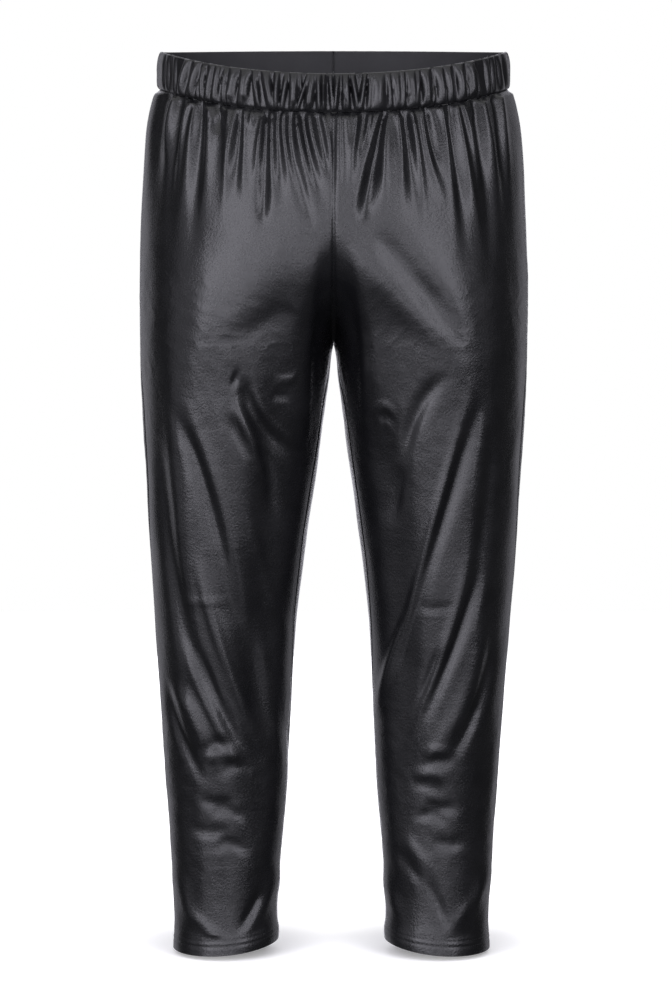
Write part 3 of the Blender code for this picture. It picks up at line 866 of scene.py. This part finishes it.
def panel_surface(name, across, heights, arc, layer):
    """Points on one face of a creased panel: layer 0 is outside, layer 1 inside."""
    is_front = name.startswith("front")
    mirror = 1.0 if name.endswith("right") else -1.0
    angles = panel_angles(is_front, across, heights)
    base = form_point(heights, angles)
    normals = outward(heights, angles)
    sway = read_table(SECTIONS, "sway", heights)
    place = base.copy()
    place[:, 0] = base[:, 0] * mirror + sway
    right, down = seen(place, is_front)
    from_seam = np.minimum(across, 1.0 - across) * arc
    below_waist = WAIST_SEAM - heights
    gathers = GATHERS[name] if is_front else back_gathers(name)
    gather = GATHER_STRENGTH * crease_lift(right, down, gathers, True)
    gather *= smoothstep(0.0, GATHER_SEAM_FADE, from_seam)
    gather *= between(GATHER_AT_WAIST, 1.0, smoothstep(0.0, GATHER_WAIST_FADE, below_waist))
    crease = CREASE_STRENGTH * crease_lift(right, down, CREASES[name], False)
    facing = np.abs(normals[:, 1])
    crease += crease_lift(right, down, HOLLOWS, False) * facing
    crease += UNEVEN_LIFT * uneven(place, UNEVEN_SIZE) + crumple_lift(place, down)
    crease *= smoothstep(0.0, CREASE_SEAM_FADE, from_seam)
    crease *= smoothstep(0.0, CREASE_HEM_FADE, heights - HEM - HEM_TURN)
    lift = gather + crease
    lift += crotch_lift(right, down) * facing
    lift += hem_lift(heights)
    lift -= SEAM_ROLL_DEPTH * bell(from_seam, SEAM_ROLL_WIDTH)
    lift -= WAIST_ROLL_DEPTH * bell(below_waist, WAIST_ROLL_WIDTH)
    points = base + normals * (lift - layer * PANEL_WALL)[:, None]
    points[:, 2] += bell(below_waist, WAIST_LEVEL_WIDTH) * (base[:, 2] - points[:, 2])
    # Above the crotch both faces of the cloth end on the middle plane, where the centre seam runs.
    at_middle = (across > 1.0 - TINY) & (heights > CROTCH - TINY)
    points[:, 0] = np.where(at_middle, HALF_GAP, np.maximum(points[:, 0], HALF_GAP))
    points[:, 0] = points[:, 0] * mirror + sway
    normals[:, 0] *= mirror
    return points, normals


def double_sheet(columns, rows):
    """A closed flat sheet, and where its points are: across, down, and layer 0 or, inside, 1."""
    sheet = bmesh.new()
    bmesh.ops.create_grid(sheet, x_segments=columns, y_segments=rows, size=0.5)
    for vert in sheet.verts:
        vert.co = (vert.co.x + 0.5, 0.5 - vert.co.y, 0.0)
    made = bmesh.ops.extrude_face_region(sheet, geom=sheet.faces[:], use_keep_orig=True)
    for item in made["geom"]:
        if isinstance(item, bmesh.types.BMVert):
            item.co.z = 1.0
    for face in sheet.faces:
        face.material_index = int(all(vert.co.z > 0.5 for vert in face.verts))
    return sheet, np.array([vert.co for vert in sheet.verts]).T


def add_object(name, data):
    made = bpy.data.objects.new(name, data)
    bpy.context.scene.collection.objects.link(made)
    return made


def mesh_from(name, shape, materials):
    """A mesh from a bmesh, which is then freed."""
    mesh = bpy.data.meshes.new(name)
    shape.to_mesh(mesh)
    shape.free()
    for material in materials:
        mesh.materials.append(material)
    return mesh


def smooth_piece(name, shape, materials):
    """A piece of the garment, from a bmesh whose points are in their places."""
    mesh = mesh_from(name, shape, materials)
    mesh.shade_smooth()
    piece = add_object(name, mesh)
    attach(piece, "root")
    return piece


def finish_piece(name, sheet, points, materials):
    """Moves a sheet's points to their places, and makes it a piece of the garment."""
    for vert, point in zip(sheet.verts, points):
        vert.co = point
    bmesh.ops.recalc_face_normals(sheet, faces=sheet.faces[:])
    if sheet.calc_volume(signed=True) < 0:
        bmesh.ops.reverse_faces(sheet, faces=sheet.faces[:])
    piece = smooth_piece(name, sheet, materials)
    piece.data.set_sharp_from_angle(angle=SHARP_ANGLE)
    return piece


def leg_panel(name, materials):
    """One of the four leg panels, cut from waist seam to hem."""
    is_front = name.startswith("front")
    row_heights = panel_rows()
    rows = len(row_heights) - 1
    sheet, (across, down, layer) = double_sheet(PANEL_COLUMNS, rows)
    row = down * rows
    heights = np.interp(row, np.arange(rows + 1), row_heights)
    arc = np.interp(row, np.arange(rows + 1), panel_arc(is_front, row_heights))
    across = column_share(across * PANEL_COLUMNS, arc)
    points, _ = panel_surface(name, across, heights, arc, layer)
    piece = finish_piece(name + "_panel", sheet, points, materials)
    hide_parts(name)
    return piece


def hem_stitches(name, thread):
    """Two rows of small stitches along a panel's hem."""
    is_front = name.startswith("front")
    stitches = bmesh.new()
    for above in STITCH_ROWS:
        height = HEM + above
        arc = float(panel_arc(is_front, np.array([height]))[0])
        count = int(arc / STITCH_SPACING)
        across = (np.arange(count) + 0.5) / count
        spots = np.concatenate([across, across + STITCH_AIM / count])
        heights = np.full(len(spots), height)
        points, normals = panel_surface(name, spots, heights, arc, 0.0)
        for number in range(count):
            ahead = Vector(points[number + count] - points[number]).normalized()
            out = Vector(normals[number])
            side = out.cross(ahead).normalized()
            out = ahead.cross(side)
            place = Vector(points[number]) + out * STITCH_THICKNESS * STITCH_RISE
            turn = stitch_matrix(ahead, side, out, place)
            bmesh.ops.create_uvsphere(stitches, u_segments=6, v_segments=4, radius=0.5, matrix=turn)
    piece = smooth_piece(name + "_hem_stitches", stitches, (thread,))
    return piece


def stitch_matrix(ahead, side, out, place):
    """Turns and stretches a small ball into a stitch that lies along its row."""
    axes = (ahead * STITCH_LENGTH, side * STITCH_THICKNESS, out * STITCH_THICKNESS)
    matrix = Matrix(axes).transposed().to_4x4()
    matrix.translation = place
    return matrix


def band_point(share_up, angles):
    """The waistband's smooth form: share_up is 0 at the waist seam and 1 at the top edge."""
    half_width = between(BAND_HALF_WIDTH_BOTTOM, BAND_HALF_WIDTH_TOP, share_up)
    half_depth = between(BAND_HALF_DEPTH_BOTTOM, BAND_HALF_DEPTH_TOP, share_up)
    sine = np.sin(angles)
    across, along = rounded(np.cos(angles), sine, BAND_FULLNESS)
    height = between(BAND_BOTTOM, BAND_TOP, share_up) + waist_dip(sine)
    return np.stack([half_width * across, -half_depth * along, height], axis=-1)


def back_band_ridges():
    """Gathers on the back of the waistband, as uneven as those in front."""
    dice = random.Random("waistband gathers")
    ridges = []
    for number in range(BACK_BAND_RIDGES):
        turn = (number + 0.5 + dice.uniform(-0.36, 0.36)) / BACK_BAND_RIDGES
        x = BACK_BAND_HALF_WIDTH * math.cos(turn * math.pi)
        lean = dice.uniform(-4.5, 4.5)
        width = dice.choice((1.6, 1.9, 2.3, 3.0, 3.8)) * dice.uniform(0.9, 1.1)
        strength = dice.uniform(0.6, 1.25) * math.sin(turn * math.pi) ** 0.5
        low, high = dice.choice(((SEAM, TOP), (SEAM, TOP), (SEAM, TOP), (SEAM, 0.55), (0.4, TOP)))
        ridges.append(BandRidge(x - lean / 2, x + lean / 2, width, strength, low, high))
    return ridges


def ridge_lift(angles, share_up):
    """How far the waistband's gathers push it out, in front and behind."""
    place = band_point(share_up, angles)
    is_front = place[:, 1] < 0
    right = np.where(is_front, seen(place, True)[0], seen(place, False)[0])
    lift = np.zeros_like(angles)
    fade = BAND_RIDGE_FADE
    for side, ridges in ((True, BAND_RIDGES), (False, back_band_ridges())):
        for ridge in ridges:
            off = right - ridge.foot - (ridge.head - ridge.foot) * share_up
            spread = BAND_RIDGE_SPREAD * ridge.width
            near = (np.abs(off) < spread) & (is_front == side)
            up = share_up[near]
            inside = smoothstep(ridge.low - fade, ridge.low + fade, up)
            inside *= 1.0 - smoothstep(ridge.high - fade, ridge.high + fade, up)
            crest = ridge.strength * inside * (1.0 - (off[near] / spread) ** 2)
            lift[near] = np.power(lift[near] ** CREST_BLEND + crest**CREST_BLEND, 1 / CREST_BLEND)
    return BAND_RIDGE_LIFT * lift - BAND_TUCK


def waistband(materials):
    """A gathered strip round the waist, its ends meeting at the centre back."""
    sheet, (across, down, layer) = double_sheet(BAND_COLUMNS, BAND_ROWS)
    share_up = np.interp(down, BAND_ROWS_DOWN, BAND_ROWS_UP)
    end_angle = BAND_END_GAP / BAND_HALF_DEPTH_TOP
    angles = -math.pi / 2 + end_angle + (2 * math.pi - 2 * end_angle) * across
    base = band_point(share_up, angles)
    around = band_point(share_up, angles + BAND_TURN) - band_point(share_up, angles - BAND_TURN)
    level = np.stack([-around[:, 1], around[:, 0], np.zeros_like(angles)], axis=-1)
    normals = level / np.linalg.norm(level, axis=-1, keepdims=True)
    normals *= np.sign((normals * base).sum(axis=-1))[:, None]
    tall = BAND_TOP - BAND_BOTTOM
    from_top = (1.0 - share_up) * tall
    from_seam = share_up * tall
    middle = np.sin(math.pi * np.clip(share_up, BAND_CREST_END, 1.0 - BAND_CREST_END))
    ridge = ridge_lift(angles, share_up) * between(BAND_EDGE_CREST, 1.0, middle)
    near_top = np.clip(1.0 - from_top / BAND_EDGE_ROUND, 0.0, 1.0)
    near_seam = np.clip(1.0 - from_seam / BAND_EDGE_ROUND, 0.0, 1.0)
    roll = 1.0 - np.sqrt(1.0 - BAND_EDGE_CLOSING * np.maximum(near_top, near_seam) ** 2)
    bulge = BAND_BULGE * (1.0 - np.abs(2.0 * share_up - 1.0) ** BAND_BULGE_POWER)
    from_end = np.minimum(across, 1.0 - across) * 2 * math.pi * BAND_HALF_DEPTH_TOP
    groove = BAND_END_GROOVE * bell(from_end, BAND_END_GROOVE_WIDTH)
    seam_roll = BAND_SEAM_ROLL * bell(from_seam, BAND_SEAM_ROLL_WIDTH)
    outer = bulge + ridge - BAND_WALL / 2 * roll - groove - seam_roll
    inner = -BAND_WALL + BAND_WALL / 2 * roll * BAND_INNER_ROLL + groove - seam_roll
    points = base + normals * np.where(layer > 0.5, inner, outer)[:, None]
    piece = finish_piece("gathered_waistband", sheet, points, materials)
    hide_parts("waistband")
    return piece


def feed(tree, node, values):
    """Gives a node's sockets their values: a number or colour, or a link from another node."""
    for socket, value in values.items():
        if isinstance(value, bpy.types.NodeSocket):
            tree.links.new(value, node.inputs[socket])
        else:
            node.inputs[socket].default_value = value


def add_node(tree, kind, values, **settings):
    """A shader node of this kind with its own settings, and its sockets fed."""
    node = tree.nodes.new("ShaderNode" + kind)
    for setting, value in settings.items():
        setattr(node, setting, value)
    feed(tree, node, values)
    return node


def node_group(name, vectors, values, results):
    """An empty shader node group: the vectors and values it is given, and what it puts out."""
    group = bpy.data.node_groups.new(name, "ShaderNodeTree")
    for sockets, way, kind in (
        (vectors, "INPUT", "NodeSocketVector"),
        (values, "INPUT", "NodeSocketFloat"),
        (results, "OUTPUT", "NodeSocketFloat"),
    ):
        for socket in sockets:
            group.interface.new_socket(name=socket, in_out=way, socket_type=kind)
    return group, group.nodes.new("NodeGroupInput"), group.nodes.new("NodeGroupOutput")


def math_node(group, operation, first, second):
    return add_node(group, "Math", {0: first, 1: second}, operation=operation).outputs[0]


def noise_node(group, vector, scale, detail, roughness):
    values = {"Vector": vector, "Scale": scale, "Detail": detail, "Roughness": roughness}
    return add_node(group, "TexNoise", values).outputs["Fac"]


def coated_knit_group():
    """Fine grain, a crumple that runs across the leg, and patches where the coating is duller."""
    sizes = ("Grain Scale", "Grain Height", "Crumple Scale", "Crumple Height")
    group, given, made = node_group(
        "coated_knit",
        ("Coordinates",),
        (*sizes, "Roughness", "Roughness Change"),
        ("Height", "Roughness", "Wear"),
    )
    source = given.outputs
    spot = source["Coordinates"]
    squeezed = add_node(group, "Mapping", {"Vector": spot, "Scale": CRUMPLE_SQUEEZE}).outputs[0]
    grain = noise_node(group, spot, source["Grain Scale"], detail=3.0, roughness=0.62)
    crumple = noise_node(group, squeezed, source["Crumple Scale"], detail=4.0, roughness=0.55)
    patches = noise_node(group, spot, WEAR_SCALE, detail=3.0, roughness=0.6)
    grain_height = math_node(group, "MULTIPLY", grain, source["Grain Height"])
    crumple_height = math_node(group, "MULTIPLY", crumple, source["Crumple Height"])
    spread = math_node(group, "SUBTRACT", math_node(group, "ADD", patches, grain), 1.0)
    change = math_node(group, "MULTIPLY", spread, source["Roughness Change"])
    results = {
        "Height": math_node(group, "ADD", grain_height, crumple_height),
        "Roughness": math_node(group, "ADD", source["Roughness"], change),
        "Wear": patches,
    }
    feed(group, made, results)
    return group


def cloth_material(knit, cloth):
    """Coated knit cloth. The group gives what changes over it, the shader what is the same."""
    material = bpy.data.materials.new(cloth.name)
    material.use_nodes = True
    tree = material.node_tree
    where = add_node(tree, "TexCoord", {})
    values = {
        "Coordinates": where.outputs["Object"],
        "Grain Scale": GRAIN_SCALE,
        "Grain Height": cloth.grain,
        "Crumple Scale": CRUMPLE_SCALE,
        "Crumple Height": cloth.crumple,
        "Roughness": cloth.roughness,
        "Roughness Change": cloth.change,
    }
    effect = add_node(tree, "Group", values, node_tree=knit)
    tones = add_node(tree, "ValToRGB", {"Fac": effect.outputs["Wear"]})
    stops = tones.color_ramp.elements
    for stop, position, tone in zip(stops, WEAR_RANGE, (cloth.dark, cloth.light)):
        stop.position = position
        stop.color = (*tone, 1.0)
    height = effect.outputs["Height"]
    relief = add_node(tree, "Bump", {"Strength": 1.0, "Distance": cloth.bump, "Height": height})
    looks = {
        "Base Color": tones.outputs["Color"],
        "Roughness": effect.outputs["Roughness"],
        "Normal": relief.outputs["Normal"],
        "Specular IOR Level": CLOTH_SPECULAR,
    }
    feed(tree, tree.nodes["Principled BSDF"], looks)
    return material


def softbox(name, azimuth, rise, width, height, brightness):
    """A soft light seen in the cloth, but not by the camera. Angles are from the garment."""
    turn = math.radians(azimuth)
    lift = math.radians(rise)
    level = math.cos(lift)
    away = Vector((math.sin(turn) * level, -math.cos(turn) * level, math.sin(lift)))
    lamp = bpy.data.lights.new(name, "AREA")
    lamp.shape = "RECTANGLE"
    lamp.size = 2 * STUDIO_RADIUS * math.tan(math.radians(width / 2)) * level
    lamp.size_y = 2 * STUDIO_RADIUS * math.tan(math.radians(height / 2))
    lamp.energy = math.pi * lamp.size * lamp.size_y * brightness
    lamp.color = LIGHT_TINT
    box = add_object(name, lamp)
    box.location = Vector(STUDIO_CENTRE) + away * STUDIO_RADIUS
    box.rotation_euler = (-away).to_track_quat("-Z", "Y").to_euler()
    box.visible_camera = False


def add_lights():
    for row in SOFTBOXES:
        softbox(*row)
    overhead = bpy.data.lights.new("overhead_light", "SUN")
    overhead.energy = OVERHEAD_ENERGY
    overhead.angle = OVERHEAD_ANGLE
    add_object("overhead_light", overhead)


def add_world():
    """White to the camera, and a dim room to everything else."""
    world = bpy.data.worlds.new("studio")
    world.use_nodes = True
    tree = world.node_tree
    tree.nodes.clear()
    rays = add_node(tree, "LightPath", {})
    room = add_node(tree, "Background", {"Color": WHITE, "Strength": ROOM_BRIGHTNESS})
    backdrop = add_node(tree, "Background", {"Color": WHITE, "Strength": 1.0})
    views = {0: rays.outputs["Is Camera Ray"], 1: room.outputs[0], 2: backdrop.outputs[0]}
    mix = add_node(tree, "MixShader", views)
    add_node(tree, "OutputWorld", {"Surface": mix.outputs[0]})
    bpy.context.scene.world = world


def hem_shade_group():
    """Soft shade on the floor round a hem: 1 away from it, darker towards its middle."""
    group, given, made = node_group("hem_shade", ("Coordinates", "Middle"), (), ("Shade",))
    ends = {0: given.outputs["Coordinates"], 1: given.outputs["Middle"]}
    away = add_node(group, "VectorMath", ends, operation="DISTANCE")
    values = {
        "Value": away.outputs["Value"],
        "From Min": SHADE_INNER,
        "From Max": SHADE_OUTER,
        "To Min": SHADE_DARKEST,
        "To Max": 1.0,
    }
    fade = add_node(group, "MapRange", values, interpolation_type="SMOOTHERSTEP")
    feed(group, made, {"Shade": fade.outputs["Result"]})
    return group


def floor_material():
    """Plain white that glows a little, with a soft shade round each hem."""
    material = bpy.data.materials.new("studio_floor")
    material.use_nodes = True
    tree = material.node_tree
    where = add_node(tree, "TexCoord", {}).outputs["Object"]
    shade_group = hem_shade_group()
    shades = []
    for x in HEM_MIDDLES:
        values = {"Middle": (x, SHADE_BACK, FLOOR_HEIGHT), "Coordinates": where}
        shade = add_node(tree, "Group", values, node_tree=shade_group)
        shades.append(shade.outputs["Shade"])
    looks = {
        "Base Color": FLOOR_WHITE,
        "Roughness": 0.9,
        "Specular IOR Level": 0.0,
        "Emission Strength": FLOOR_GLOW,
        "Emission Color": math_node(tree, "MULTIPLY", *shades),
    }
    feed(tree, tree.nodes["Principled BSDF"], looks)
    return material


def add_floor():
    sheet = bmesh.new()
    bmesh.ops.create_grid(sheet, x_segments=1, y_segments=1, size=FLOOR_REACH)
    bmesh.ops.translate(sheet, verts=sheet.verts[:], vec=(0.0, 0.0, FLOOR_HEIGHT))
    floor = add_object("studio_floor", mesh_from("studio_floor", sheet, (floor_material(),)))
    # Only the camera sees the floor, because the low softboxes stand under its level.
    floor.visible_glossy = False
    floor.visible_diffuse = False
    floor.visible_shadow = False


def add_camera():
    data = bpy.data.cameras.new("camera")
    data.sensor_width = SENSOR_WIDTH
    data.lens = SENSOR_WIDTH / 2 / math.tan(FRAME_HALF_ANGLE)
    data.clip_end = CAMERA_REACH
    camera = add_object("camera", data)
    camera.location = (EYE_SIDE, -EYE_DISTANCE, EYE_HEIGHT)
    camera.rotation_euler = (math.pi / 2 - EYE_TILT, 0.0, 0.0)
    bpy.context.scene.camera = camera


def build():
    add_camera()
    add_world()
    add_floor()
    add_lights()
    bpy.context.scene.view_settings.view_transform = "Standard"
    knit = coated_knit_group()
    leg_cloth = cloth_material(knit, LEG_CLOTH)
    band_cloth = cloth_material(knit, BAND_CLOTH)
    backing = cloth_material(knit, BACKING)
    thread = cloth_material(knit, THREAD)
    band = waistband((band_cloth, backing))
    for name, (width, length, area) in PANEL_CUTS.items():
        panel = leg_panel(name, (leg_cloth, backing))
        stitches = hem_stitches(name, thread)


build()
